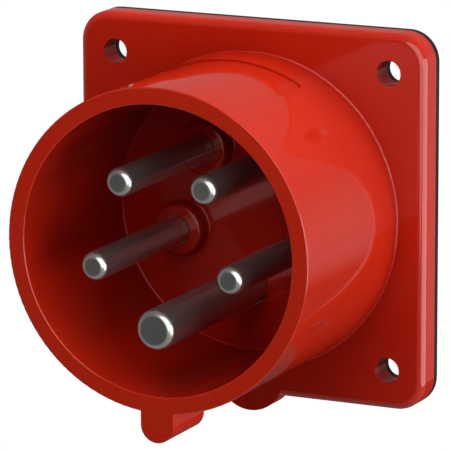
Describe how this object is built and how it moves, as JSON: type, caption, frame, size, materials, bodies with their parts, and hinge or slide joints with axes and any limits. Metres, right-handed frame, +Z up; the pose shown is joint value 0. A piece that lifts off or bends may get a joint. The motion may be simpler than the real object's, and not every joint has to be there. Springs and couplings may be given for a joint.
{
  "type": "panel mounting appliance inlet",
  "caption": "Square-flanged panel inlet with a deep round collar, male contact pins of two sizes, a keyway rib below and screw terminals behind.",
  "frame": {"origin": "on the collar's axis, in the plane of the panel's front surface under the gasket", "axes": "-Y forwards out of the collar, +Z up, keyway rib below"},
  "size_m": [0.0658, 0.0723, 0.0688],
  "materials": {
    "red_plastic": "glossy moulded polyamide",
    "black_rubber": "matte",
    "black_plastic": "fine moulded texture",
    "nickel_brass": "bright nickel plating on turned brass",
    "zinc_steel": "zinc plated",
    "spring_steel": "bright strip"
  },
  "bodies": {
    "root": {"housing": "red_plastic", "flange_gasket": "black_rubber", "contact_carrier": "black_plastic", "retaining_plate": "black_plastic", "contact_pin_earth": "nickel_brass", "contact_pin_line_1": "nickel_brass", "contact_pin_line_2": "nickel_brass", "contact_pin_line_3": "nickel_brass", "contact_pin_neutral": "nickel_brass", "wire_guard_earth": "spring_steel", "wire_guard_line_1": "spring_steel", "wire_guard_line_2": "spring_steel", "wire_guard_line_3": "spring_steel", "wire_guard_neutral": "spring_steel", "terminal_screws": "zinc_steel", "earth_terminal_screw": "zinc_steel", "insert_screws": "zinc_steel"}
  },
  "joints": []
}
